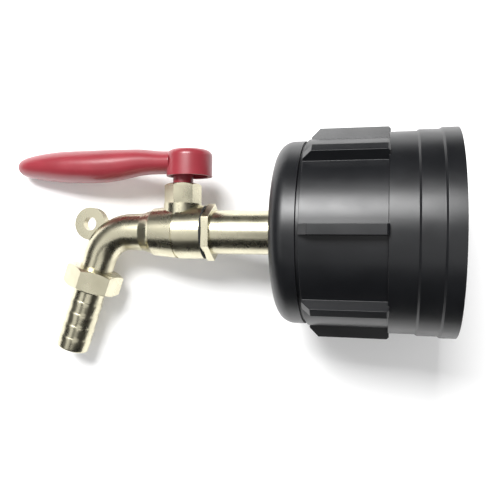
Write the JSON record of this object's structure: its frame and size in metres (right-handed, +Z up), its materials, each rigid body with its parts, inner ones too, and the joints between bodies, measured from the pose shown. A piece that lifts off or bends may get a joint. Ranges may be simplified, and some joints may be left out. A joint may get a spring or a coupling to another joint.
{
  "type": "tank valve",
  "caption": "Ball tap with a long lever and a hose tail, screwed into a ribbed plastic adapter for the outlet thread of a bulk liquid container.",
  "frame": {"origin": "centre of the adapter's open mouth, on the axis of the tank thread", "axes": "+X along the adapter's axis towards the tank, +Z up from the tap to its lever, the tap points towards -X"},
  "size_m": [0.2708, 0.12, 0.1371],
  "materials": {
    "black_polypropylene": "moulded, half gloss",
    "nickel_brass": "nickel plated, satin",
    "red_lever": "gloss enamel",
    "chrome_ball": "polished",
    "zinc_steel": "zinc plated",
    "rubber_seal": "matt",
    "white_seat": "matt"
  },
  "bodies": {
    "tap": {"adapter_cap": "black_polypropylene", "tank_gasket": "rubber_seal", "inlet_gasket": "rubber_seal", "inlet_connector": "nickel_brass", "body_seal": "rubber_seal", "tap_body": "nickel_brass", "inlet_seat": "white_seat", "outlet_seat": "white_seat", "thrust_washer": "white_seat", "gland_packing": "white_seat", "gland_nut": "nickel_brass", "tail_washer": "rubber_seal", "hose_tail": "nickel_brass"},
    "lever": {"lever": "red_lever", "lever_washer": "zinc_steel", "lever_screw": "zinc_steel", "stem": "nickel_brass", "stem_o_rings": "rubber_seal", "ball": "chrome_ball"},
    "union_nut": {"union_nut": "nickel_brass"}
  },
  "joints": [
    {"name": "lever_turn", "type": "hinge", "parent": "tap", "child": "lever", "pos_m": [-0.1588, 0, 0], "axis": [0, 0, 1], "range_deg": [0, 90]},
    {"name": "union_nut_turn", "type": "hinge", "parent": "tap", "child": "union_nut", "pos_m": [-0.21813, 0, -0.02996], "axis": [0.309, 0, 0.9511], "continuous": true}
  ]
}
